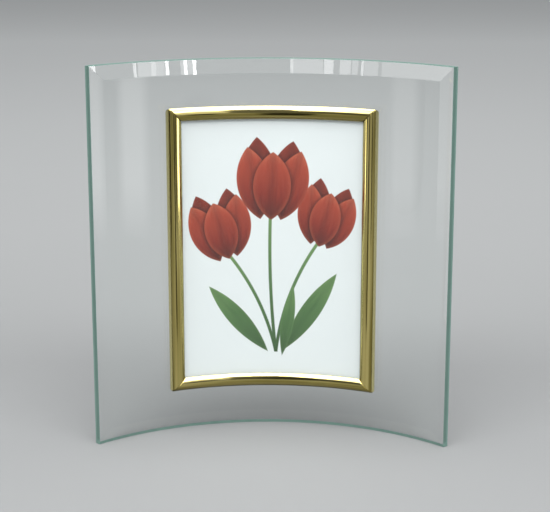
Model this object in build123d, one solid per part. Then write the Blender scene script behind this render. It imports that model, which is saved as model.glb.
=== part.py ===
from build123d import *
import os
from math import cos, degrees, sin, sqrt

# A photo frame: a bevelled glass pane, bent to a vertical cylinder, stands on its own lower edge,
# and a gilt moulding taped to its hollow front holds a picture that drops in from the top.
# Millimetres. +Z is up, the viewer looks along +Y, and the origin is under the middle of the pane.

# Glass pane
glass_height = 170.0
glass_width = 172.0  # of the flat blank, at mid-thickness
glass_thickness = 4.0
bend_radius = 110.0  # of the hollow front face
bevel_width = 6.5
bevel_depth = 1.0
arris = 0.3  # fine chamfer along the back edges

# Gilt moulding, rolled from thin strip; widths run along the curve of the glass's front face
sight_width = 84.2  # the window that the moulding leaves
sight_height = 117.8
window_centre = 84.6  # height of the window's middle above the table
rail_face = 6.6  # outer edge to sight edge
rail_wall = 0.4
bead_height = 1.8  # crest of the half-round bead above its lip at the sight edge
foot_width = 4.5
corner_round = 1.2  # the polished outer corners

# Corner keys and tape
key_leg = 14.0  # outer corner to the end of each leg
key_thickness = 0.9
key_fit = 0.1  # between key and bead, and between key and slot
tape_thickness = 0.4
tape_width = 3.4
tape_inset = 0.6  # from the moulding's outer edge
tape_end_gap = 0.5  # between the side tapes and the bottom one
bond_gap = 0.05  # film of adhesive on each face of the tape

# Sheets in the slot, from the glass forwards
photo_width = 89.0
photo_height = 127.0
photo_thickness = 0.25
card_thickness = 0.8
film_thickness = 0.3
sheet_gap = 0.25  # between neighbours through the stack
side_gap = 0.5  # between the card or film and the channel's side walls
seat_gap = 0.25  # between the sheets' lower edges and the bottom rail
top_gap = 1.2  # the card and film stop this far below the moulding's top

cut_margin = 1.0  # how far cutting tools overshoot

# The bend
back_radius = bend_radius + glass_thickness
edge_radius = bend_radius + bevel_depth
glass_half_angle = glass_width / 2 / (bend_radius + glass_thickness / 2)
axis_y = -(back_radius + edge_radius * cos(glass_half_angle)) / 2
bend_axis = Axis((0, axis_y, 0), (0, 0, 1))
radius_height_plane = Plane((0, axis_y, 0), x_dir=(0, 1, 0), z_dir=(1, 0, 0))

# Heights above the glass's front face, towards the viewer
foot_back = bond_gap + tape_thickness + 2 * bond_gap
foot_front = foot_back + rail_wall
card_back = foot_front + sheet_gap
photo_back = card_back + card_thickness + sheet_gap
film_back = photo_back + photo_thickness + sheet_gap
film_front = film_back + film_thickness
lip_level = film_front + sheet_gap
crest_level = lip_level + bead_height
key_level = lip_level + key_fit

# The moulding's outline
bead_radius = rail_face + bead_height - sqrt(2 * rail_face * bead_height)
bead_inside = bead_radius - rail_wall
spring_level = crest_level - bead_radius
slot_wall = bead_radius - sqrt(bead_inside**2 - (film_front - spring_level) ** 2)
key_half = sqrt(bead_inside**2 - (key_level + key_thickness - spring_level) ** 2) - key_fit
outer_half = sight_width / 2 + rail_face
rail_bottom = window_centre - sight_height / 2 - rail_face
rail_top = window_centre + sight_height / 2 + rail_face
sheet_seat = rail_bottom + slot_wall + seat_gap
stile_angle = (outer_half - rail_face / 2) / bend_radius


def around(angle, radius=bend_radius, z=0.0):
    """Point at an angle from the pane's middle, on a cylinder round the bend axis."""
    return Vector(radius * sin(angle), axis_y + radius * cos(angle), z)


def swing(section, start, end):
    """Carry a section round the bend axis, from one angle to another; it is drawn at angle 0."""
    solid = revolve(section, bend_axis, degrees(end - start))
    return solid.rotate(bend_axis, -degrees(end))


def curved_sheet(start, end, back, thickness, z_low, z_high):
    """Sheet that follows the glass between two angles, its back a given height in front of it."""
    corner = Pos(bend_radius - back - thickness, z_low)
    outline = Rectangle(thickness, z_high - z_low, align=(Align.MIN, Align.MIN))
    return swing(radius_height_plane * corner * outline, start, end)


def edge_bevel(edge, way):
    """Ring that takes the front bevel off the top (way 1) or the bottom (way -1) edge."""
    line = edge - way * bevel_width
    past = edge + way * cut_margin
    deepest = bend_radius + bevel_depth * (bevel_width + cut_margin) / bevel_width
    inside = bend_radius - cut_margin
    corners = ((bend_radius, line), (deepest, past), (inside, past), (inside, line))
    wedge = make_face(Polyline(*corners, close=True))
    reach = glass_half_angle + cut_margin / bend_radius
    return swing(radius_height_plane * wedge, -reach, reach)


def glass_pane():
    """Bent pane: a plan with straight side bevels, raised, then bevelled above and below."""
    bevel_angle = glass_half_angle - bevel_width / bend_radius
    outline = [
        ThreePointArc(*(around(a, back_radius) for a in (-glass_half_angle, 0, glass_half_angle))),
        Line(around(glass_half_angle, back_radius), around(glass_half_angle, edge_radius)),
        Line(around(glass_half_angle, edge_radius), around(bevel_angle)),
        ThreePointArc(*(around(a) for a in (bevel_angle, 0, -bevel_angle))),
        Line(around(-bevel_angle), around(-glass_half_angle, edge_radius)),
        Line(around(-glass_half_angle, edge_radius), around(-glass_half_angle, back_radius)),
    ]
    pane = extrude(make_face(outline), glass_height, dir=(0, 0, 1))
    pane -= edge_bevel(glass_height, 1)
    pane -= edge_bevel(0, -1)
    back_face = pane.faces().sort_by(SortBy.AREA)[-1]
    return chamfer(back_face.edges(), arris)


def box_section(u_low, u_high, v_low, v_high):
    """Rectangle in a moulding section: u in from the outer edge, v forwards from the glass."""
    return Pos(u_low, v_low) * Rectangle(u_high - u_low, v_high - v_low, align=(Align.MIN, Align.MIN))


def bead_ring(v_low, v_high, u_high):
    """The bead's rolled strip between two heights, a ring about the middle of the bead."""
    ring = Circle(bead_radius) - Circle(bead_inside)
    return (Pos(bead_radius, spring_level) * ring) & box_section(0, u_high, v_low, v_high)


def arch_section():
    """The bead alone, cut off level on both sides: the top rail, with the loading slot behind it."""
    return bead_ring(lip_level, crest_level, 2 * bead_radius)


def channel_section():
    """The bead with its outer wall carried down to a foot on the tape."""
    shoulder = bead_ring(spring_level, lip_level, bead_radius)
    wall = box_section(0, rail_wall, foot_back, spring_level)
    foot = box_section(0, foot_width, foot_back, foot_front)
    return arch_section() + shoulder + wall + foot


def rail_plane(way):
    """Section plane of the top (way 1) or bottom (way -1) rail, at the middle of the pane."""
    edge = rail_top if way > 0 else rail_bottom
    return Plane(around(0, z=edge), x_dir=(0, 0, -way), z_dir=(-way, 0, 0))


def outwards(side):
    """Direction along the curve, away from the middle, at a stile; side is 1 right, -1 left."""
    return Vector(side * cos(stile_angle), -sin(stile_angle), 0)


def stile_plane(side, z):
    """Section plane of a stile at a height, flat against the curve at the stile's middle."""
    outer = around(side * stile_angle, z=z) + outwards(side) * (rail_face / 2)
    return Plane(outer, x_dir=outwards(side) * -1, z_dir=(0, 0, side))


def corner_middle(side, way):
    """Where the mitre's centre line meets the glass."""
    edge = rail_top if way > 0 else rail_bottom
    return around(side * stile_angle, z=edge - way * rail_face / 2)


def mitre(side, way):
    """Plane of a mitre; the rail lies on its upper side and the stile on its lower side."""
    return Plane(corner_middle(side, way), z_dir=Vector(0, 0, way) - outwards(side))


def corner_plane(side, way):
    """Plane against the glass at a corner, with x and y pointing out of the window."""
    facing = outwards(side).cross(Vector(0, 0, way))
    return Plane(corner_middle(side, way), x_dir=outwards(side), z_dir=facing)


def corner_rounder(side, way):
    """What polishing takes off an outer corner of the moulding."""
    centre = rail_face / 2 - corner_round
    reach = corner_round + cut_margin
    waste = Rectangle(reach, reach, align=(Align.MIN, Align.MIN)) - Circle(corner_round)
    place = corner_plane(side, way) * Pos(centre, centre)
    return extrude(place * waste, crest_level + cut_margin, both=True)


def rail(way):
    """Curved rail: the top one is the bare bead, the bottom one the whole channel."""
    section = arch_section() if way > 0 else channel_section()
    reach = (outer_half + cut_margin) / bend_radius
    piece = swing(rail_plane(way) * section, -reach, reach)
    for side in (-1, 1):
        piece = split(piece, mitre(side, way), keep=Keep.TOP) - corner_rounder(side, way)
    return piece


def upright(section, side, z_low, z_high):
    """Straight length of a section along a stile."""
    return extrude(stile_plane(side, z_low) * section, z_high - z_low, dir=(0, 0, 1))


def stile(side):
    """Straight channel from mitre to mitre."""
    piece = upright(channel_section(), side, rail_bottom - cut_margin, rail_top + cut_margin)
    for way in (-1, 1):
        piece = split(piece, mitre(side, way), keep=Keep.BOTTOM) - corner_rounder(side, way)
    return piece


def corner_key(side, way):
    """Angle plate in the crown of the bead: an L, cut through a thin shell of the curve."""
    outer = rail_face / 2 - bead_radius + key_half
    inner = outer - 2 * key_half
    end = rail_face / 2 - key_leg
    outline = Polyline(
        (end, outer), (outer, outer), (outer, end), (inner, end), (inner, inner), (end, inner), close=True
    )
    prism = extrude(corner_plane(side, way) * make_face(outline), crest_level + cut_margin, both=True)
    outer_angle = (outer_half + cut_margin) / bend_radius
    shell = curved_sheet(-outer_angle, outer_angle, key_level, key_thickness, rail_bottom, rail_top)
    return prism & shell


def side_tape(side):
    """Tape under a stile's foot, from above the bottom tape to below the top mitre."""
    outer = (outer_half - tape_inset) / bend_radius
    inner = (outer_half - tape_inset - tape_width) / bend_radius
    low = rail_bottom + tape_inset + tape_width + tape_end_gap
    high = rail_top - tape_inset - tape_width
    return curved_sheet(*sorted((side * inner, side * outer)), bond_gap, tape_thickness, low, high)


def bottom_tape():
    """Tape under the bottom rail's foot."""
    outer = (outer_half - tape_inset) / bend_radius
    low = rail_bottom + tape_inset
    return curved_sheet(-outer, outer, bond_gap, tape_thickness, low, low + tape_width)


def slot_sheet(back, thickness):
    """Card or film, cut to the inside of the channel."""
    outer = (outer_half - slot_wall - side_gap) / bend_radius
    return curved_sheet(-outer, outer, back, thickness, sheet_seat, rail_top - top_gap)


def photo_print():
    """Standard print, standing in the bottom rail between card and film."""
    outer = photo_width / 2 / (bend_radius - photo_back - photo_thickness / 2)
    return curved_sheet(-outer, outer, photo_back, photo_thickness, sheet_seat, sheet_seat + photo_height)


pieces = {
    "glass_pane": glass_pane(),
    "top_rail": rail(1),
    "bottom_rail": rail(-1),
    "left_stile": stile(-1),
    "right_stile": stile(1),
    "bond_tape_left": side_tape(-1),
    "bond_tape_right": side_tape(1),
    "bond_tape_bottom": bottom_tape(),
    "cover_sheet": slot_sheet(film_back, film_thickness),
    "photo_print": photo_print(),
    "backing_card": slot_sheet(card_back, card_thickness),
}
for side, side_word in ((-1, "left"), (1, "right")):
    for way, way_word in ((-1, "bottom"), (1, "top")):
        pieces[f"corner_key_{way_word}_{side_word}"] = corner_key(side, way)

os.makedirs("parts", exist_ok=True)
for name, piece in pieces.items():
    export_step(piece, f"parts/{name}.step")
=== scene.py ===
# %% [markdown]
# # A curved glass photo frame
# A pane of bevelled float glass, bent to a vertical cylinder, stands on its own lower edge. On its
# hollow front sits a narrow gilt moulding that holds a print. The solids of every piece are already
# made, so this lesson dresses them: it loads them as a fixed frame, lays smooth surfaces over what
# shows, and gives each surface its finish. Everything is in metres, and the viewer looks along +Y.

# %% Load the frame
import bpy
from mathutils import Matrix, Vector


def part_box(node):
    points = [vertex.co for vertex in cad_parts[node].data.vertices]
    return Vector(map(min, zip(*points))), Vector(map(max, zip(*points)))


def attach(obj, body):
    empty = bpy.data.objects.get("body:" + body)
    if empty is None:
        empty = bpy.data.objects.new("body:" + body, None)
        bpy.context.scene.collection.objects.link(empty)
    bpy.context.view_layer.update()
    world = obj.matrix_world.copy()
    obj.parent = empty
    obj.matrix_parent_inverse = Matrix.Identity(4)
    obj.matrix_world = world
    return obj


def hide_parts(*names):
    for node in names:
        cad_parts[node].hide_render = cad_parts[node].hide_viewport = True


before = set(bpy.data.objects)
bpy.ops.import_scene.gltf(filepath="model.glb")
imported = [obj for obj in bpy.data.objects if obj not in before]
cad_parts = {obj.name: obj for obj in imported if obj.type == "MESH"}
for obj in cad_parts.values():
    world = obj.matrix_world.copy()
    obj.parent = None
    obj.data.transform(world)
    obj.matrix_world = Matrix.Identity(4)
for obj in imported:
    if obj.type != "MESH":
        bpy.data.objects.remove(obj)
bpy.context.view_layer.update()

from math import asin, cos, pi, radians, sin, sqrt, tan

import bmesh
import bpy
import numpy as np
from mathutils import Vector

print("nodes:", sorted(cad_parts))

# %% [markdown]
# ## Sizes
# A polished surface shows every facet, and the solids arrive as flat triangles. The pane, the moulding
# and the three sheets are therefore worked out again as fine grids. They take their sizes from the same
# few values as the solids, and the boxes of the solids tell where each piece ends.

# %% Sizes of the bend
MM = 0.001
bend_radius = 110 * MM  # of the hollow front face
glass_thickness = 4 * MM
bevel_width = 6.5 * MM
bevel_depth = 1 * MM
arris = 0.3 * MM  # fine chamfer along the back edges
front_arris = 0.2 * MM  # ground where the bevel meets the edge
foot_margin = 1.3 * MM  # broader ground strip along the edge that the pane stands on

back_radius = bend_radius + glass_thickness
glass_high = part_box("glass_pane")[1]
half_angle = asin(glass_high.x / (back_radius - arris))
axis_y = -(back_radius + (bend_radius + bevel_depth) * cos(half_angle)) / 2
print(f"bend axis at y {axis_y / MM:.2f} mm; the pane spans {np.degrees(2 * half_angle):.1f} degrees")
print(f"its back lies {(axis_y + back_radius - glass_high.y) / MM:.3f} mm from the solid's")


def bent(angle, forward, height):
    """Points on the bend: x is radius times sine and y the axis plus radius times cosine of the angle.
    The radius is that of the glass's front face, less the distance forward of it; the height is z."""
    radius = bend_radius - forward
    places = radius * np.sin(angle), axis_y + radius * np.cos(angle), height
    return np.stack(np.broadcast_arrays(*places), axis=-1)


# %% [markdown]
# ## From grids to meshes
# Every surface here is a grid of points, so one helper numbers the corners of a grid's cells, and
# another gathers several grids into one closed mesh. Neighbouring grids share their border points:
# merging the doubles closes the seams, and edges sharper than a chosen angle stay crisp under smooth
# shading.

# %% Helpers for grids
def cells(rows, columns, wrap=False):
    """Corner numbers of every cell of a grid of points; wrap joins the last column to the first."""
    index = np.arange(rows * columns).reshape(rows, columns)
    right = np.roll(index, -1, axis=1)
    corners = np.stack([index[:-1], right[:-1], right[1:], index[1:]], axis=-1)
    return (corners if wrap else corners[:, :-1]).reshape(-1, 4)


def new_object(name, data):
    """An object of the scene that holds a mesh, a lamp or a camera."""
    made = bpy.data.objects.new(name, data)
    bpy.context.scene.collection.objects.link(made)
    return made


def make_piece(name, grids, finishes, crease):
    """One closed mesh from grids, each given as (points, wrap, number of its finish)."""
    points, faces, numbers = [], [], []
    start = 0
    for grid, wrap, number in grids:
        corners = cells(*grid.shape[:2], wrap) + start
        points.append(grid.reshape(-1, 3))
        faces.append(corners)
        numbers.append(np.full(len(corners), number))
        start += grid.shape[0] * grid.shape[1]
    mesh = bpy.data.meshes.new(name)
    mesh.from_pydata(np.concatenate(points), [], np.concatenate(faces))
    mesh.polygons.foreach_set("material_index", np.concatenate(numbers).astype(np.int32))
    close_seams(mesh)
    mesh.shade_smooth()
    mesh.set_sharp_from_angle(angle=radians(crease))
    for finish in finishes:
        mesh.materials.append(finish)
    print(f"{name}: {len(mesh.vertices)} points, {len(mesh.polygons)} faces")
    return new_object(name, mesh)


def close_seams(mesh, reach=0.002 * MM):
    """Merge the points that grids share, drop cells left without area, and turn all faces outwards."""
    work = bmesh.new()
    work.from_mesh(mesh)
    bmesh.ops.remove_doubles(work, verts=work.verts, dist=reach)
    bmesh.ops.dissolve_degenerate(work, edges=work.edges, dist=reach / 2)
    bmesh.ops.recalc_face_normals(work, faces=work.faces)
    work.to_mesh(mesh)
    open_edges = sum(len(edge.link_faces) != 2 for edge in work.edges)
    work.free()
    print(f"  {mesh.name} has {open_edges} open edges")


def settle(piece, body, slot, *nodes):
    """The piece rides on a body and stands for CAD nodes, which it hides; the slot is not used."""
    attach(piece, body)
    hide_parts(*nodes)


# %% [markdown]
# ## Shader sums
# A finish is a small network of shader nodes. Written as node calls it is hard to read, so one class
# wraps a socket and lets ordinary Python sums add the Math nodes. Any other node comes from its one
# `node` method, which sets the node's own settings first and then the values or links of its sockets.

# %% A socket that can be added and multiplied
class Wire:
    """One output socket of a shader network. Operators add Math nodes to the same network."""

    def __init__(self, tree, socket=None):
        self.tree = tree
        self.socket = socket

    def node(self, kind, settings=None, sockets=None, out=0):
        """Add a node: its settings, then the values or links of its sockets; gives one of its outputs."""
        made = self.tree.nodes.new(kind)
        for name, value in (settings or {}).items():
            if name == "stops":
                set_stops(made.color_ramp.elements, value)
            else:
                setattr(made, name, value)
        for name, value in (sockets or {}).items():
            if isinstance(value, Wire):
                self.tree.links.new(value.socket, made.inputs[name])
            else:
                made.inputs[name].default_value = value
        return Wire(self.tree, made.outputs[out])

    def math(self, operation, *values, clamp=False):
        settings = {"operation": operation, "use_clamp": clamp}
        return self.node("ShaderNodeMath", settings, dict(enumerate(values)))

    def __add__(self, other):
        return self.math("ADD", self, other)

    def __sub__(self, other):
        return self.math("SUBTRACT", self, other)

    def __rsub__(self, other):
        return self.math("SUBTRACT", other, self)

    def __mul__(self, other):
        return self.math("MULTIPLY", self, other)

    def __truediv__(self, other):
        return self.math("DIVIDE", self, other)

    def __rtruediv__(self, other):
        return self.math("DIVIDE", other, self)

    __radd__ = __add__
    __rmul__ = __mul__


def set_stops(elements, stops):
    """Give a colour ramp its stops: pairs of position and colour."""
    while len(elements) < len(stops):
        elements.new(1.0)
    for element, (position, colour) in zip(elements, stops):
        element.position = position
        element.color = (*colour, 1.0)


# %% Short names for the nodes that every finish uses
def start_finish(name, **constants):
    """A new material; constants set the Principled shader's sockets. Gives material, shader and a wire."""
    material = bpy.data.materials.new(name)
    material.use_nodes = True
    shader = material.node_tree.nodes["Principled BSDF"]
    for socket, value in constants.items():
        shader.inputs[socket.replace("_", " ")].default_value = value
    return material, shader, Wire(material.node_tree)


def feed(shader, socket, wire):
    """Link a wire to one of a shader's sockets."""
    wire.tree.links.new(wire.socket, shader.inputs[socket])


def object_place(wire):
    """The point on the piece, in metres, in its own frame."""
    return wire.node("ShaderNodeTexCoord", out="Object")


def parts_of(place):
    """The x, y and z of a vector, as three wires."""
    split = place.node("ShaderNodeSeparateXYZ", sockets={"Vector": place})
    outputs = split.socket.node.outputs
    return [Wire(place.tree, outputs[axis]) for axis in "XYZ"]


def joined(x, y, z):
    """Three wires or numbers, as one vector."""
    wire = next(part for part in (x, y, z) if isinstance(part, Wire))
    return wire.node("ShaderNodeCombineXYZ", sockets={"X": x, "Y": y, "Z": z})


def speckle(place, scale, detail=2.0, roughness=0.5):
    """Soft noise between 0 and 1; scale counts its lumps in a metre of the place it is given."""
    sockets = {"Vector": place, "Scale": scale, "Detail": detail, "Roughness": roughness}
    return place.node("ShaderNodeTexNoise", sockets=sockets)


def between(share, first, second):
    """Mix two colours, or wires of colour, by a share from 0 to 1."""
    pair = {6: first, 7: second}
    sockets = {index: value if isinstance(value, Wire) else (*value, 1.0) for index, value in pair.items()}
    return share.node("ShaderNodeMix", {"data_type": "RGBA"}, {0: share, **sockets}, out=2)


def ramp(share, *stops):
    """A colour from a share, through stops of position and colour."""
    return share.node("ShaderNodeValToRGB", {"stops": stops}, {"Fac": share})


def bump(height, distance, strength=1.0, over=None):
    """A normal, or one over another, from a height of 0 to 1 that stands for a distance in metres."""
    sockets = {"Height": height, "Distance": distance, "Strength": strength}
    if over:
        sockets["Normal"] = over
    return height.node("ShaderNodeBump", sockets=sockets)


def roughen(shader, noise, lowest, highest):
    """Let a shader's roughness follow a noise, from its lowest to its highest value."""
    feed(shader, "Roughness", noise * (highest - lowest) + lowest)


def grainy(name, tones, scale, detail, limits, depth, roughness=0.5, **constants):
    """A whole finish from one noise: two tones, the limits of its roughness, and a bump of some depth."""
    material, shader, wire = start_finish(name, **constants)
    grain = speckle(object_place(wire), scale, detail, roughness)
    feed(shader, "Base Color", between(grain, *tones))
    roughen(shader, grain, *limits)
    if depth:
        feed(shader, "Normal", bump(grain, depth))
    return material


def round_the_bend(place):
    """Distance along the curve from the middle, distance from the bend's axis, and height, in metres."""
    x, y, z = parts_of(place)
    depth = y - axis_y
    along = x.math("ARCTAN2", x, depth) * bend_radius
    radius = x.math("SQRT", x * x + depth * depth)
    return along, radius, z


# %% [markdown]
# ## Glass
# Float glass is clear across its 4 mm and green along it, because iron in it takes red light first. A
# colour on the surface would tint the pane all over, so the tint is a volume: the light that goes far
# through the glass loses most. Bent glass is never quite true, and a bump of a few hundredths of a
# millimetre gives that ripple. The cut edges are ground, not polished. They scatter light as a
# sea-green line, paler along the back, where less glass lies behind it. So they get a finish of their
# own, with fine grinding marks and two tones: painted shade deepens the part nearer the bevel, and the
# strip that the pane stands on is kept out of it and stays paler, as painted light.

# %% Polished glass and its ground edge
glass_ior = 1.52
glass_tint = (0.10, 0.74, 0.50)  # what a long way through the glass leaves of red, green and blue
glass_density = 9.0  # of that tint, in a metre
ripple_scale = 26  # lumps in a metre
ripple_height = 0.03 * MM
edge_greens = ((0.10, 0.20, 0.17), (0.16, 0.28, 0.24))  # clouds in the ground edge
mark_green = (0.30, 0.43, 0.38)
# colour and share of the painted shade over the ground edge nearer the bevel
painted_shade_green = (0.05, 0.11, 0.09)
mark_stretch, mark_fineness = 4, 60  # along the edge, and across it
mark_share = 0.35
edge_shade_share = 0.5
tone_line = 0.68  # share of the edge, from the bevel to the back, at which the painted shade has gone
tone_contrast = 5.0


def polished_glass():
    material, shader, wire = start_finish(
        "polished_glass", Transmission_Weight=1.0, Roughness=0.0, IOR=glass_ior, Base_Color=(1, 1, 1, 1)
    )
    ripple = speckle(object_place(wire), ripple_scale, detail=0.0)
    feed(shader, "Normal", bump(ripple, ripple_height))
    tint = {"Color": (*glass_tint, 1.0), "Density": glass_density}
    volume = wire.node("ShaderNodeVolumeAbsorption", sockets=tint)
    output = material.node_tree.nodes["Material Output"]
    wire.tree.links.new(volume.socket, output.inputs["Volume"])
    return material


def ground_edge():
    material, shader, wire = start_finish("ground_glass_edge", IOR=glass_ior)
    place = object_place(wire)
    along, radius, height = round_the_bend(place)
    grain = joined(along * mark_stretch, radius * mark_fineness, height * mark_stretch)
    marks = speckle(grain, scale=60, detail=3.0)
    cloud = speckle(place, scale=90, detail=3.0)
    worn = between(marks * mark_share, between(cloud, *edge_greens), mark_green)
    to_back = (radius - bend_radius - bevel_depth) / (glass_thickness - bevel_depth)
    # Painted shade near the bevel; the strip the pane stands on stays out of it, paler as painted light
    edge_shade = wire.math("MULTIPLY", tone_line - to_back, tone_contrast, clamp=True)
    shade_above_foot = wire.math("DIVIDE", height - foot_margin, foot_margin, clamp=True)
    feed(shader, "Base Color", between(edge_shade * shade_above_foot * edge_shade_share, worn, painted_shade_green))
    roughen(shader, marks, lowest=0.35, highest=0.65)
    feed(shader, "Normal", bump(marks, distance=0.02 * MM))
    return material


glass_finish = polished_glass()
edge_finish = ground_edge()
print("glass finishes:", glass_finish.name, edge_finish.name)

# %% [markdown]
# ## The pane
# Seen from the front, the pane is nested borders: the inner and the outer line of the bevel, the back
# of the ground edge, and the arris on the back. Each border is one trip round the pane at its own angle,
# heights and radius. Grids between those borders make the whole rim, with true mitres where the bevels
# meet, and two more grids fill the front and the back.

# %% Borders of a curved plate
def border(edge, columns, rows):
    """One trip round a curved plate: along the bottom, up the right side, back along the top and down the
    left. The edge gives the half angle, the lowest and highest z and the distance in front of the glass."""
    half, low, high, forward = edge
    across = np.linspace(-1, 1, columns + 1)[:-1]
    up = np.linspace(0, 1, rows + 1)[:-1]
    turn = half * np.concatenate([across, np.ones(rows), -across, -np.ones(rows)])
    share = np.concatenate([np.zeros(columns), up, np.ones(columns), 1 - up])
    return bent(turn, forward, low + (high - low) * share)


def face(edge, columns, rows):
    """The sheet inside a border: a grid of angles by heights, all at one distance in front of the glass."""
    half, low, high, forward = edge
    turn = np.linspace(-half, half, columns + 1)[None, :]
    height = np.linspace(low, high, rows + 1)[:, None]
    return bent(turn, forward, height)


def plate(name, edges, rim_finishes, finishes, columns=192, rows=48, crease=4.0):
    """A closed curved plate from its borders; its front takes the first finish, and its back the last."""
    grids = [(face(edges[0], columns, rows), False, 0)]
    for front, back, number in zip(edges, edges[1:], rim_finishes):
        grids.append((np.stack([border(front, columns, rows), border(back, columns, rows)]), True, number))
    grids.append((face(edges[-1], columns, rows), False, len(finishes) - 1))
    return make_piece(name, grids, finishes, crease)


# %% The pane itself
top = glass_high.z
bevel_angle = half_angle - bevel_width / bend_radius
arris_angle = half_angle - arris / back_radius
bevel_steps = 12  # a bevel on a bend is part of a cone, so it needs more than its two lines
inner_line = np.array([bevel_angle, bevel_width, top - bevel_width, 0.0])
outer_line = np.array([half_angle, 0.0, top, -bevel_depth])
seam = outer_line + (inner_line - outer_line) * front_arris / bevel_width
seam[1] = foot_margin
pane_edges = [
    *np.linspace(inner_line, seam, bevel_steps + 1),
    (half_angle, 0.0, top, -bevel_depth - front_arris),
    (half_angle, 0.0, top, arris - glass_thickness),
    (arris_angle, arris, top - arris, -glass_thickness),
]
rim = [0] * bevel_steps + [1, 1, 1]
pane = plate("bevelled_pane", pane_edges, rim, [glass_finish, edge_finish, glass_finish])
settle(pane, "frame", "glass", "glass_pane")

# %% [markdown]
# ## Gilt
# The moulding is rolled from thin strip and plated a greenish gold. It is polished, but not a perfect
# mirror: the rollers leave faint lines along its length, handling leaves soft haze, and the strip is a
# little wavy. The lines run upwards in a stile and round the bend in a rail, so the finish is told which
# of them it is on. A clear lacquer covers the gold, and it lies thicker in some bands than in others.
# Painted shade makes the gold deepest on both flanks of a stile and on the lower side of a rail. A
# painted highlight makes it palest on the upper side of a rail, and a painted highlight line runs along
# the outer edge of a stile.

# %% Gilt finish
painted_highlight_gold = (0.70, 0.62, 0.30)  # painted highlight: upper side of a rail, outer edge of a stile
pale_gold = (0.62, 0.52, 0.19)
gold = (0.30, 0.245, 0.060)  # under more lacquer
painted_shade_gold = (0.13, 0.10, 0.020)  # painted shade: flanks of a stile, lower side of a rail
crest_level = 5.1 * MM  # of the bead, in front of the glass
shade_flank_depth = 1.8 * MM  # from a stile's crest back to the full painted shade
highlight_edge_level = 3.6 * MM  # in front of the glass; a stile has a painted highlight below it
highlight_edge_blend = 0.4 * MM
rail_light_width = 3.3 * MM  # from a rail's crest down to the full painted shade, or up to the full painted highlight
line_stretch = 0.02  # roller lines are this share as busy along the strip as across it
line_scale = 3000  # roller lines in a metre across the strip
band_scale = 650  # bands of lacquer
band_start, band_contrast = 0.35, 3.3  # level of the noise at which a band turns pale, and how fast
polish = 0.03  # roughness of clean gold
haze_blur, line_blur = 0.10, 0.08  # what haze and lines add to it


def gilt(name, crest=None):
    """The gilt of a stile, or of a rail whose crest is at the given height."""
    material, shader, wire = start_finish(name, Metallic=1.0, Coat_Weight=0.2, Coat_Roughness=0.04)
    place = object_place(wire)
    along, radius, height = round_the_bend(place)
    if crest is None:
        strip = joined(along, radius, height * line_stretch)
    else:
        strip = joined(along * line_stretch, radius, height)
    lines = speckle(strip, line_scale, detail=2.0)
    bands = speckle(strip, band_scale, detail=1.0)
    haze = speckle(place, scale=220, detail=4.0)
    wave = speckle(place, scale=45, detail=0.0)
    thin = wire.math("MULTIPLY", bands - band_start, band_contrast, clamp=True)
    colour = between(thin, gold, pale_gold)
    if crest is None:
        # Painted shade on both flanks of a stile, and a painted highlight line along its outer edge
        flank_shade = wire.math("DIVIDE", crest_level - bend_radius + radius, shade_flank_depth, clamp=True)
        highlight_edge = wire.math("DIVIDE", highlight_edge_level - bend_radius + radius, highlight_edge_blend, clamp=True)
        painted_shade = flank_shade * flank_shade * (1 - highlight_edge)
        colour = between(highlight_edge, colour, painted_highlight_gold)
    else:
        # Painted shade on the lower side of a rail, and a painted highlight on its upper side
        painted_shade = wire.math("DIVIDE", crest - height, rail_light_width, clamp=True)
        painted_highlight = wire.math("DIVIDE", height - crest, rail_light_width, clamp=True)
        colour = between(painted_highlight, colour, painted_highlight_gold)
    feed(shader, "Base Color", between(painted_shade, colour, painted_shade_gold))
    feed(shader, "Roughness", haze * haze_blur + lines * line_blur + polish)
    waves = bump(wave, distance=0.05 * MM)
    feed(shader, "Normal", bump(lines, distance=0.002 * MM, strength=0.6, over=waves))
    return material


stile_gilt = gilt("stile_gilt")
rail_gilt = {}
for node in ("top_rail", "bottom_rail"):
    low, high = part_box(node)
    rail_gilt[node] = gilt(f"{node}_gilt", crest=(low.z + high.z) / 2)
    print(f"{node}: crest at {(low.z + high.z) / 2 / MM:.1f} mm")

# %% [markdown]
# ## The moulding
# The section of the strip is a line with a thickness: a half-round bead from the sight edge over its
# crest, a wall down towards the glass, a small bend, and a foot that sits on the tape. The top rail is
# the bead alone, because the print goes in behind it. A section is carried round the bend for a rail
# and straight up for a stile, and each of its points stops where it meets the mitre. Polishing the
# finished frame has rounded its four outer corners, so near a mitre the outer lines of the strip turn
# in an arc. It has eased the outer edge of each mitre too, so a fine line of light runs along it.

# %% Sizes of the moulding
sight_width = 84.2 * MM
sight_height = 117.8 * MM
window_centre = 84.6 * MM
rail_face = 6.6 * MM
rail_wall = 0.4 * MM
bead_height = 1.8 * MM
lip_level = 3.3 * MM  # in front of the glass
foot_level = 0.75 * MM  # middle of the foot's thickness
foot_width = 4.5 * MM
foot_bend = 0.6 * MM  # radius at the middle of the strip
corner_round = 1.2 * MM
least_radius = 0.001 * MM  # stands for nought where a line has no arc
mitre_gap = 0.015 * MM  # hairline at each side of a mitre
eased_length = 0.5 * MM  # of the polished edge of a mitre
eased_share = 0.85  # of the strip's thickness that polishing has rounded off there
dressing_slope = 0.6  # of a stile's upper end, behind the rail's lip

bead_radius = rail_face + bead_height - sqrt(2 * rail_face * bead_height)
spring_level = lip_level + bead_height - bead_radius
middle_radius = bead_radius - rail_wall / 2
lip_angle = asin((lip_level - spring_level) / middle_radius)
stile_angle = (sight_width + rail_face) / 2 / bend_radius
corner_height = (sight_height + rail_face) / 2
corner_length = corner_round * pi / 4  # of the longest arc, from the mitre to the straight
print(f"bead radius {bead_radius / MM:.2f} mm, stiles at {np.degrees(stile_angle):.1f} degrees")


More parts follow.
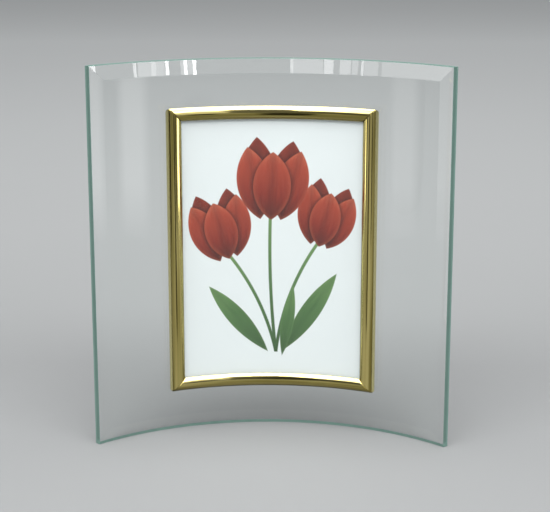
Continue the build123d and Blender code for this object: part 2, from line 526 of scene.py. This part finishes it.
# %% The strip's section
plain_steps, fine_steps, bead_steps = 3, 9, 56


def arc(centre, radius, start, end, count):
    """Points and outward normals on an arc: centre plus radius times cosine and sine of the angle."""
    angle = np.linspace(start, end, count)
    normal = np.stack([np.cos(angle), np.sin(angle)], axis=-1)
    return np.array(centre) + radius * normal, normal


def straight(start, end, normal, count):
    """Points at even steps from start to end, all with one normal."""
    share = np.linspace(0, 1, count)[:, None]
    points = (1 - share) * np.array(start) + share * np.array(end)
    return points, np.broadcast_to(np.array(normal, float), points.shape)


def thickened(stretches):
    """Outer and inner side of a strip along joined stretches; both ends are rounded.
    Half the thickness shrinks near an end as the square root of a circle's equation."""
    line = np.concatenate([points for points, normal in stretches])
    normal = np.concatenate([normal for points, normal in stretches])
    steps = np.linalg.norm(np.diff(line, axis=0), axis=1)
    length = np.concatenate([[0], np.cumsum(steps)])
    half = rail_wall / 2
    from_end = np.minimum(np.minimum(length, length[-1] - length), half)
    thickness = np.sqrt(half**2 - (half - from_end) ** 2)[:, None]
    return np.stack([line + normal * thickness, line - normal * thickness])


def after(*stretches):
    """The stretches without their first points, on which the ones before them end."""
    return [(points[1:], normal[1:]) for points, normal in stretches]


def bead(start, end):
    """The half-round, with fine steps over the rounded end at its lip."""
    tip = start + rail_wall / middle_radius
    centre = (bead_radius, spring_level)
    low = arc(centre, middle_radius, start, tip, fine_steps)
    high = arc(centre, middle_radius, tip, end, bead_steps)
    return [low, *after(high)]


def bead_section():
    """The top rail's section: the bead from lip to lip."""
    first = bead(lip_angle, pi / 2)
    flip, shift = (-1, 1), (2 * bead_radius, 0)
    mirrored = [(points[::-1] * flip + shift, normal[::-1] * flip) for points, normal in first]
    return thickened(first + after(*mirrored[1:]) + mirrored[:1])


def channel_section():
    """The section of the other three lengths: bead, outer wall, bend and foot."""
    wall = rail_wall / 2
    turn = foot_level + foot_bend
    tip = foot_width - rail_wall
    down = (0, -1)
    side = straight((wall, spring_level), (wall, turn), (-1, 0), plain_steps)
    bend = arc((wall + foot_bend, turn), foot_bend, pi, 1.5 * pi, fine_steps)
    foot = straight((wall + foot_bend, foot_level), (tip, foot_level), down, plain_steps)
    end = straight((tip, foot_level), (foot_width, foot_level), down, fine_steps)
    return thickened(bead(lip_angle, pi) + after(side, bend, foot, end))


# %% Carry a section to its mitres
def corner_path(inset, along):
    """Where a line of the strip runs near a corner, by its distance from the outer edge and the way along
    it from the mitre: how far past the corner's middle, and how far outwards of it. The lines within the
    rounding start as an eighth of a circle, radius times sine and cosine; then all run straight."""
    beside = rail_face / 2 - inset
    centre = rail_face / 2 - corner_round
    radius = np.clip(beside - centre, 0, None)
    turn = pi / 4 - np.minimum(along / np.maximum(radius, least_radius), pi / 4)
    straight_part = np.clip(along - radius * pi / 4, 0, None)
    start = np.minimum(beside, centre)
    return start + radius * np.sin(turn) - straight_part - mitre_gap, start + radius * np.cos(turn)


def eased(sides, rows, steps=7):
    """The section at each row along a length, its share of the way between the corners, and the way along
    from the nearest mitre. There the outer side sinks to the inner one, along a quarter of an ellipse."""
    turn = np.linspace(0, pi / 2, steps)
    past = np.linspace(eased_length, corner_length, steps)[1:]
    step = np.concatenate([eased_length * (1 - np.cos(turn)), past])
    sunk = np.concatenate([eased_share * (1 - np.sin(turn)), 0 * past])
    middle = np.linspace(0, 1, rows)[1:-1]
    share = np.concatenate([0 * step, middle, np.ones(len(step))])[:, None, None]
    along = np.concatenate([step, np.full(len(middle), corner_length), step[::-1]])[:, None, None]
    sinking = np.concatenate([sunk, 0 * middle, sunk[::-1]])[:, None, None]
    outer, inner = np.broadcast_arrays(sides[0] + (sides[1] - sides[0]) * sinking, sides[1])
    return np.stack([outer, inner], axis=1), share, along


def rail_points(sides, way, rows=121):
    """A rail: the section turns about the bend's axis, between angles that differ from point to point."""
    sides, share, along = eased(sides, rows)
    inset, forward = sides[..., 0], sides[..., 1]
    past, outwards = corner_path(inset, along)
    end = stile_angle + np.arcsin(past / (bend_radius - forward))
    height = window_centre + way * (corner_height + outwards)
    return bent((2 * share - 1) * end, forward, height)


def stile_points(sides, hand, rows=25):
    """A stile: the section rises straight, set flat against the bend at its middle. Behind the top rail's
    lip nothing meets its upper end, which is dressed off in a slope there."""
    sides, share, along = eased(sides, rows)
    inset, forward = sides[..., 0], sides[..., 1]
    past, outwards = corner_path(inset, along)
    aside = np.array([hand * cos(stile_angle), -sin(stile_angle), 0])
    inwards = np.array([-hand * sin(stile_angle), -cos(stile_angle), 0])
    foot = bent(hand * stile_angle, 0.0, window_centre)
    flat = foot + outwards[..., None] * aside + forward[..., None] * inwards
    end = corner_height + past
    dressed = np.clip(lip_level - forward, 0, None) * dressing_slope
    rise = share * (2 * end - dressed) - end
    return flat + rise[..., None] * np.array([0, 0, 1])


def moulding(name, points, finish):
    """A closed length of strip: a skin out along one side and back along the other, and two mitred ends."""
    skin = np.concatenate([points[:, 0], points[:, 1, ::-1]], axis=1)
    grids = [(skin, True, 0), (points[0], False, 0), (points[-1], False, 0)]
    return make_piece(name, grids, [finish], crease=32.0)


# %% The four lengths
channel = channel_section()
lengths = {
    "top_rail": (rail_points(bead_section(), 1), rail_gilt["top_rail"]),
    "bottom_rail": (rail_points(channel, -1), rail_gilt["bottom_rail"]),
    "left_stile": (stile_points(channel, -1), stile_gilt),
    "right_stile": (stile_points(channel, 1), stile_gilt),
}
gilt_lengths = {}
for node, (points, finish) in lengths.items():
    gilt_lengths[node] = moulding(f"gilt_{node}", points, finish)
    settle(gilt_lengths[node], "frame", "gilt", node)

# %% [markdown]
# ## Print, film and card
# Three thin sheets stand in the moulding and follow the bend. Their boxes say how wide and how high
# they are. The film is nearly all transparent, so light reaches the print through it. The card is grey
# board with fibres.

# %% Finishes of the film and the card
film_tint = (0.80, 0.85, 0.85)
film_alpha = 0.02
card_greys = ((0.17, 0.165, 0.155), (0.34, 0.33, 0.31))  # between and on the fibres
card_brown = (0.27, 0.25, 0.22)
brown_share = 0.25


def clear_film():
    material, shader, wire = start_finish(
        "film_gloss", Base_Color=(*film_tint, 1), Alpha=film_alpha, IOR=1.5, Coat_Weight=0.5
    )
    scuff = speckle(object_place(wire), scale=400, detail=3.0)
    roughen(shader, scuff, lowest=0.02, highest=0.14)
    return material


def grey_card():
    material, shader, wire = start_finish("grey_card", IOR=1.4)
    place = object_place(wire)
    fibre = speckle(place, scale=900, detail=4.0, roughness=0.65)
    cloud = speckle(place, scale=60, detail=2.0)
    feed(shader, "Base Color", between(cloud * brown_share, between(fibre, *card_greys), card_brown))
    roughen(shader, fibre, lowest=0.7, highest=0.9)
    feed(shader, "Normal", bump(fibre, distance=0.04 * MM))
    return material


film_finish = clear_film()
card_finish = grey_card()
print("sheet finishes:", film_finish.name, card_finish.name)

# %% [markdown]
# The print is white photo paper with a spray of three red tulips. The drawing is sums of simple shapes
# in the plane of the paper: a petal or a leaf is a lens, where two circles overlap, and a stem is a
# thin arc. Each shape gives a mask with a soft rim and a colour that runs from its base to its tip, and
# the shapes are laid over each other from back to front.

# %% Shapes of the drawing
paper_white = (0.83, 0.895, 0.895)
grain_scale, grain_shade = 0.6, 0.985  # lumps in a millimetre, and their share of the white
rim_softness = 0.3  # of a drawn edge, in millimetres
shade_reach = 2.6  # of the shade that one petal casts on another
shade_share = 0.7
vein_fineness, vein_stretch = 1.1, 0.10  # across a petal, and along it
vein_share = 0.55  # of a petal's length by which veins shift its colours
fold_width, fold_share = 0.35, 0.35  # share of the half width, and of the colour at the base
rim_width, rim_share = 0.22, 0.30  # the same for the colour at the tip
petal_reds = (
    (0.0, (0.08, 0.010, 0.006)),
    (0.35, (0.24, 0.024, 0.011)),
    (0.8, (0.40, 0.055, 0.024)),
    (1.0, (0.56, 0.13, 0.065)),
)
inner_reds = ((0.0, (0.04, 0.006, 0.004)), (0.6, (0.15, 0.016, 0.008)), (1.0, (0.28, 0.035, 0.016)))
leaf_greens = ((0.0, (0.045, 0.11, 0.035)), (0.6, (0.085, 0.19, 0.06)), (1.0, (0.16, 0.30, 0.10)))


def paper_plane(wire):
    """The point on the paper in millimetres, from the middle of the window, with z at nought."""
    along, radius, height = round_the_bend(object_place(wire))
    return joined(along / MM, (height - window_centre) / MM, 0.0)


def far_from(plane, point):
    """How far each place in a plane is from a point."""
    measure = {"operation": "DISTANCE"}
    return plane.node("ShaderNodeVectorMath", measure, {0: plane, 1: (*point, 0)}, out="Value")


def lens(plane, middle, lean, half_length, half_width):
    """Depth inside a lens, along its width and length: how far a point is within both of its circles.
    The circles' radius is the sum of the squared halves over twice the half width."""
    settings = {"vector_type": "TEXTURE"}
    sockets = {"Vector": plane, "Location": (*middle, 0.0), "Rotation": (0.0, 0.0, radians(lean))}
    local = plane.node("ShaderNodeMapping", settings, sockets)
    radius = (half_length**2 + half_width**2) / (2 * half_width)
    centre = radius - half_width
    far_side = local.math("MAXIMUM", far_from(local, (-centre, 0)), far_from(local, (centre, 0)))
    depth = radius - far_side
    return depth, local


def inside(depth):
    """A mask: 1 where the depth is above nought, with a soft rim."""
    return depth.math("ADD", depth / rim_softness, 0.5, clamp=True)


def petal(plane, middle, lean, half_length, half_width, stops):
    """A petal or leaf: a ramp from base to tip, fine veins along it, a pale rim and a dark fold in the
    middle. Gives its depth and its colour."""
    depth, local = lens(plane, middle, lean, half_length, half_width)
    x, y, _ = parts_of(local)
    share = y / (2 * half_length) + 0.5
    veins = speckle(joined(x * vein_fineness, y * vein_stretch, 0.0), 1.0, detail=3.0, roughness=0.6)
    colour = ramp(share + (veins - 0.5) * vein_share, *stops)
    fold = 1 - x.math("MINIMUM", x.math("ABSOLUTE", x) / (fold_width * half_width), 1.0)
    shaded = between(fold * fold_share, colour, stops[0][1])
    rim = depth.math("SUBTRACT", 1.0, depth / (rim_width * half_width), clamp=True)
    return depth, between(rim * rim_share, shaded, stops[-1][1])


# %% A tulip, a stem and the whole spray
def tulip(ground, plane, foot, lean, size):
    """Five petals from one foot, each of which shades those behind it; places are shares of the size."""
    petals = (  # across, up, spread in degrees, half length, half width, colours
        (-0.20, 0.60, 6, 0.58, 0.26, inner_reds),
        (0.21, 0.58, -7, 0.57, 0.26, inner_reds),
        (-0.27, 0.50, 13, 0.54, 0.25, petal_reds),
        (0.28, 0.49, -14, 0.53, 0.25, petal_reds),
        (0.0, 0.47, 1, 0.50, 0.28, petal_reds),
    )
    turn = radians(lean)
    bloom = None
    for across, up, spread, half_length, half_width, stops in petals:
        x = foot[0] + size * (across * cos(turn) - up * sin(turn))
        y = foot[1] + size * (across * sin(turn) + up * cos(turn))
        depth, colour = petal(plane, (x, y), lean + spread, half_length * size, half_width * size, stops)
        mask = inside(depth)
        if bloom:
            shade = depth.math("ADD", depth / shade_reach, 1.0, clamp=True)
            ground = between(bloom * shade * shade * shade_share, ground, inner_reds[0][1])
        ground = between(mask, ground, colour)
        bloom = mask.math("MAXIMUM", bloom, mask) if bloom else mask
    return ground


def stem(ground, plane, root, flower, bow, half_width=0.75):
    """A thin arc from root to flower: the ring of points near a circle, kept between the two heights.
    The circle's radius comes from the chord and how far the arc bows from it."""
    root, flower = Vector(root), Vector(flower)
    chord = flower - root
    radius = (chord.length**2 / 4 + bow**2) / (2 * bow)
    side = Vector((chord.y, -chord.x)).normalized()
    centre = (root + flower) / 2 + side * (radius - bow)
    ring = half_width - plane.math("ABSOLUTE", far_from(plane, centre) - abs(radius))
    height = parts_of(plane)[1]
    ring = plane.math("MINIMUM", ring, plane.math("MINIMUM", height - root.y, flower.y - height))
    colour = ramp((height - root.y) / chord.y, *leaf_greens)
    return between(inside(ring), ground, colour)


def tulip_spray(wire):
    """The colour of the drawing at each point of the paper."""
    plane = paper_plane(wire)
    grain = speckle(plane, grain_scale, detail=3.0)
    ground = between(grain, paper_white, tuple(grain_shade * part for part in paper_white))
    root = (1.5, -49.0)
    blooms = (  # foot, lean in degrees, size, bow of the stem
        ((-20.5, -4.0), 15, 27.0, -3.0),
        ((21.5, 2.0), -14, 25.5, 3.5),
        ((-1.0, 14.0), -3, 31.0, 1.2),
    )
    leaves = (  # middle, lean in degrees, half length, half width
        ((-16.0, -33.0), 41, 21.0, 4.2),
        ((17.5, -29.5), -34, 22.5, 4.4),
        ((7.0, -34.0), -9, 17.0, 3.0),
    )
    overlap = 1.5  # of a stem with its flower
    for foot, lean, size, bow in blooms:
        ground = stem(ground, plane, root, (foot[0], foot[1] + overlap), bow)
    for middle, lean, half_length, half_width in leaves:
        depth, colour = petal(plane, middle, lean, half_length, half_width, leaf_greens)
        ground = between(inside(depth), ground, colour)
    for foot, lean, size, bow in blooms:
        ground = tulip(ground, plane, foot, lean, size)
    return ground


# %% Finish of the print, front and back
back_whites = ((0.74, 0.75, 0.73), (0.84, 0.85, 0.83))


def printed_face():
    material, shader, wire = start_finish("printed_face", IOR=1.5, Specular_IOR_Level=0.35)
    feed(shader, "Base Color", tulip_spray(wire))
    tooth = speckle(object_place(wire), scale=1500, detail=2.0)
    roughen(shader, tooth, lowest=0.38, highest=0.53)
    feed(shader, "Normal", bump(tooth, distance=0.004 * MM))
    return material


print_finish = printed_face()
back_finish = grainy(
    "paper_back", back_whites, scale=1100, detail=4.0, limits=(0.6, 0.8), depth=0, roughness=0.6, IOR=1.45
)
print("print's network:", len(print_finish.node_tree.nodes), "nodes")


# %% The three sheets
def sheet(name, node, thickness, finishes):
    """A sheet from its CAD box, which gives its distance from the glass, half angle and heights."""
    low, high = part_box(node)
    back = bend_radius - (high.y - axis_y)
    half = asin(high.x / (bend_radius - back))
    edges = [(half, low.z, high.z, back + thickness), (half, low.z, high.z, back)]
    return plate(name, edges, (len(finishes) - 1,), finishes, columns=96, rows=24, crease=30.0)


sheets = {
    "clear_film": ("cover_sheet", 0.3 * MM, [film_finish], "film", "clear_film"),
    "tulip_print": ("photo_print", 0.25 * MM, [print_finish, back_finish], "picture", "print_paper"),
    "board": ("backing_card", 0.8 * MM, [card_finish], "card", "card"),
}
for name, (node, thickness, finishes, body, slot) in sheets.items():
    settle(sheet(name, node, thickness, finishes), body, slot, node)

# %% [markdown]
# ## Keys and tape
# Four steel angles hold the mitres inside the bead, and three strips of foam tape hold the moulding to
# the glass. Their solids are already right, so they stay and only get finishes: plated steel with a
# stamped grain, and pale foam with open pores.

# %% Finishes for the pieces that stay
steel_greys = ((0.46, 0.47, 0.48), (0.66, 0.66, 0.64))
foam_whites = ((0.60, 0.60, 0.55), (0.86, 0.86, 0.82))  # in the pores, and between them
steel = grainy(
    "plated_steel", steel_greys, scale=350, detail=4.0, limits=(0.25, 0.5), depth=0.01 * MM, Metallic=1
)
foam = grainy(
    "foam_tape", foam_whites, scale=1800, detail=3.0, limits=(0.65, 0.85), depth=0.05 * MM, IOR=1.4
)
kept_finishes = {"corner_key": steel, "bond_tape": foam}
for node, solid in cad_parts.items():
    for start, finish in kept_finishes.items():
        if node.startswith(start):
            solid.data.materials.clear()
            solid.data.materials.append(finish)
            print(node, "gets", finish.name)

# %% [markdown]
# ## Floor, light and camera
# Clear glass and polished metal show little of their own: they show what is round them. The floor is
# plain and pale, and paler still far behind the frame. Four large soft lamps light everything: one
# overhead, one high in front and one on each side of that. Together they reach from the front over the
# top, and so the upward sides of the gilt get one unbroken white band. Small strips are weak as light,
# but bright as reflections, and each is tied to the pieces that it is there for. A row of them draws
# streaks along the top bevel, two lower ones with soft edges show up the side bevels, one on each side
# draws a line down the stile across from it, and three broader ones widen the rails' white band towards
# the corners. Dark cards, which only polished surfaces see, give the gilt its dark lines.

# %% Floor
floor_greys = ((0.275, 0.281, 0.284), (0.295, 0.301, 0.304))  # round the frame
far_grey = (0.86, 0.88, 0.885)
paling_start, paling_length = 0.1, 1.6  # metres behind the frame


def pale_floor():
    material, shader, wire = start_finish("pale_floor", Specular_IOR_Level=0.3)
    place = object_place(wire)
    cloud = speckle(place, scale=3, detail=3.0)
    behind = parts_of(place)[1]
    far = behind.math("DIVIDE", behind - paling_start, paling_length, clamp=True)
    feed(shader, "Base Color", between(far, between(cloud, *floor_greys), far_grey))
    roughen(shader, cloud, lowest=0.6, highest=0.7)
    return material


def stage_sheet(name, corners, finish):
    """A flat sheet that belongs to the stage, from a grid of its four corners."""
    mesh = bpy.data.meshes.new(name)
    mesh.from_pydata(corners.reshape(-1, 3), [], cells(2, 2))
    mesh.materials.append(finish)
    made = new_object(name, mesh)
    return made


floor_half = 60.0
ends = np.array([-floor_half, floor_half])
floor_gap = 0.05 * MM  # keeps the floor from falling together with the pane's lower edge
corners = np.stack(np.broadcast_arrays(ends[None, :], ends[:, None], -floor_gap), axis=-1)
stage_sheet("floor", corners, pale_floor())
print("floor:", 2 * floor_half, "m square")


# %% Lamps
def softbox(name, place, aim, width, height, radiance, only=None, through=True):
    """A rectangular lamp that faces a point. Its power is radiance times pi times its area. It lights
    everything, or only the pieces of one collection, and may be hidden from rays through glass."""
    lamp = bpy.data.lights.new(name, "AREA")
    lamp.shape = "RECTANGLE"
    lamp.size, lamp.size_y = width, height
    lamp.energy = radiance * pi * width * height
    holder = new_object(name, lamp)
    holder.location = place
    holder.rotation_euler = (Vector(aim) - Vector(place)).to_track_quat("-Z", "Y").to_euler()
    holder.visible_camera = False
    holder.visible_transmission = through
    holder.light_linking.receiver_collection = only
    print(f"{name}: {width:.3f} by {height:.3f} m, {lamp.energy:.1f} W")
    return lamp


def around(azimuth, distance, height):
    """A place round the frame; the azimuth runs from the viewer's side to the right."""
    turn = radians(azimuth)
    return Vector((distance * sin(turn), -distance * cos(turn), height))


middle = Vector((0.0, 0.0, window_centre))
large_lamps = (  # name, place, aim, width, height, radiance
    ("overhead", (0.0, -0.25, 1.4), (0.0, -0.25, 0.0), 1.2, 1.2, 4.8),
    ("front", (0.0, -1.05, 1.29), middle, 1.5, 0.34, 7.8),
    ("right_box", around(50, 1.05, 1.03), middle, 0.5, 0.85, 3.6),
    ("left_box", around(-50, 1.05, 1.03), middle, 0.5, 0.85, 3.6),
)
for lamp in large_lamps:
    softbox(*lamp)


# %% Strips for the top bevel
def alone(*pieces):
    """A collection that holds a few pieces, for lamps that light nothing else."""
    group = bpy.data.collections.new(f"{pieces[0].name}_alone")
    for piece in pieces:
        group.objects.link(piece)
    return group


def strip_lamp(name, azimuth, distance, level, width, height, radiance, only, through=True):
    """An upright lamp round the frame that faces it at its own level and lights one collection's pieces."""
    place = around(azimuth, distance, level)
    return softbox(name, place, (0.0, 0.0, level), width, height, radiance, only, through)


top_strip_distance = 1.2
top_strip_level = 0.36  # the top bevel mirrors this height at that distance
top_strip_height = 0.12
top_strips = (  # azimuth, width, radiance
    (30.6, 0.028, 16.0), (33.2, 0.14, 3.5), (34.4, 0.03, 14.0), (42.2, 0.028, 16.0),
    (48.1, 0.045, 2.5), (49.2, 0.25, 3.5), (56.5, 0.03, 7.0), (76.2, 0.05, 9.0),
    (-9.2, 0.027, 6.0), (-15.9, 0.26, 3.0), (-24.4, 0.083, 6.0), (-31.4, 0.10, 4.0),
    (-35.5, 0.055, 3.0), (-38.7, 0.025, 6.0), (-42.5, 0.127, 2.5), (-63.6, 0.71, 2.2),
)
pane_alone = alone(pane)
for azimuth, width, radiance in top_strips:
    setting = (azimuth, top_strip_distance, top_strip_level, width, top_strip_height, radiance)
    strip_lamp(f"strip_{azimuth}", *setting, only=pane_alone)


# %% Strips for the side bevels
def fade_edges(lamp, share):
    """Dim a lamp evenly towards its edges, each over a share of the lamp's width or height."""
    lamp.use_nodes = True
    wire = Wire(lamp.node_tree)
    across, up, _ = parts_of(wire.node("ShaderNodeNewGeometry", out="Parametric"))
    edges = (wire.math("MINIMUM", part, 1 - part) for part in (across, up))
    from_side, from_end = (wire.math("DIVIDE", edge, share, clamp=True) for edge in edges)
    level = from_side * from_end
    feed(lamp.node_tree.nodes["Emission"], "Color", joined(level, level, level))


side_strip_distance = 0.344
side_strip_level = 0.074
side_strip_fade = 0.28  # share of the lamp over which each edge fades
side_strip_width = 0.07 / (1 - side_strip_fade)  # 0.07 lies between the lines of half brightness
side_strip_height = 0.113 / (1 - side_strip_fade)
side_strips = (("left", 54, 1.9), ("right", -54, 1.5))  # side, azimuth, radiance
for side, azimuth, radiance in side_strips:
    setting = (side_strip_distance, side_strip_level, side_strip_width, side_strip_height, radiance)
    made = strip_lamp(f"strip_for_{side}_bevel", azimuth, *setting, only=pane_alone, through=False)
    fade_edges(made, side_strip_fade)

# %% Strips for the stiles
stile_strip_distance = 0.33
stile_strip_level = 0.07
stile_strip_height = 0.085
stile_strips = (  # node, azimuth, width, radiance
    ("left_stile", 70, 0.20, 4.2),
    ("right_stile", -75, 0.13, 2.2),
)
for node, azimuth, width, radiance in stile_strips:
    setting = (azimuth, stile_strip_distance, stile_strip_level, width, stile_strip_height, radiance)
    strip_lamp(f"strip_for_{node}", *setting, only=alone(gilt_lengths[node]))

# %% Strips for the rails
rail_strip_distance = 1.2
rail_strips = (  # azimuth, lowest and highest elevation in degrees, width, radiance
    (36, 27, 43, 0.65, 4.0),
    (36, 0, 27, 0.80, 0.9),
    (-25, 27, 43, 0.55, 4.0),
)
rails_alone = alone(gilt_lengths["top_rail"], gilt_lengths["bottom_rail"])
for azimuth, *elevations, width, radiance in rail_strips:
    low, high = (window_centre + rail_strip_distance * tan(radians(angle)) for angle in elevations)
    setting = (azimuth, rail_strip_distance, (low + high) / 2, width, high - low, radiance)
    strip_lamp(f"strip_for_rails_{azimuth}_{elevations[0]}", *setting, only=rails_alone)


# %% Cards for the polished metal
card_edge = 20  # contrast of the fade towards a card's edges


def mirror_card(name, azimuth, distance, width, height, level):
    """An upright card that faces the frame. Only polished surfaces see it; level is its brightness."""
    across = np.array(around(azimuth + 90, width / 2, 0.0))
    foot = np.array(around(azimuth, distance, 0.0))
    lower = np.stack([foot - across, foot + across])
    grid = np.stack([lower, lower + np.array([0.0, 0.0, height])])
    material, shader, wire = start_finish(
        name, Base_Color=(0.02, 0.02, 0.02, 1), Roughness=0.9, Emission_Strength=1.0
    )
    x, y, z = parts_of(object_place(wire))
    aside = ((x - foot[0]) * (x - foot[0]) + (y - foot[1]) * (y - foot[1])) / (width / 2) ** 2
    rising = z / height
    body = (1 - aside) * rising * (1 - rising)
    feed(shader, "Alpha", wire.math("MULTIPLY", body, card_edge, clamp=True))
    shade = (1 - aside) * level
    feed(shader, "Emission Color", joined(shade, shade, shade))
    card = stage_sheet(name, grid, material)
    card.visible_camera = card.visible_diffuse = card.visible_transmission = card.visible_shadow = False
    print(f"{name}: {width} by {height} m at {azimuth} degrees, level {level}")


dark_cards = (  # name, azimuth, distance, width, height, level
    ("dark_card_left", -56, 0.38, 0.12, 0.20, 0.03),
    ("dark_card_right", 27, 0.38, 0.085, 0.10, 0.03),
    ("dark_card_middle", -6.5, 0.141, 0.045, 0.13, 0.05),
)
for dark_card in dark_cards:
    mirror_card(*dark_card)


# %% World
room_level = 0.23
more_behind, more_above = 0.08, 0.06
room_red, room_blue = 0.98, 1.01  # shares of the level


def studio_world():
    """A dim room: a little brighter upwards and behind the frame than in front of it."""
    world = bpy.data.worlds.new("studio")
    world.use_nodes = True
    wire = Wire(world.node_tree)
    _, behind, above = parts_of(wire.node("ShaderNodeTexCoord", out="Generated"))
    level = room_level + behind * more_behind + above * more_above
    background = world.node_tree.nodes["Background"]
    grey = joined(level * room_red, level, level * room_blue)
    wire.tree.links.new(grey.socket, background.inputs["Color"])
    bpy.context.scene.world = world


studio_world()
print("room:", room_level, "at eye level")

# %% Camera
image_width = 550  # pixels
focal_pixels = 1519.7
camera_place = (16.6 * MM, -657.5 * MM, 247.6 * MM)
look_down = 0.2445  # radians below level
look_left = 0.0232  # radians to the left of +Y

lens_data = bpy.data.cameras.new("camera")
lens_data.sensor_fit = "HORIZONTAL"
lens_data.lens = focal_pixels / image_width * lens_data.sensor_width
camera = new_object("camera", lens_data)
camera.location = camera_place
camera.rotation_euler = (pi / 2 - look_down, 0.0, look_left)
bpy.context.scene.camera = camera
bpy.context.scene.view_settings.view_transform = "Standard"
print(f"lens {lens_data.lens:.1f} mm")
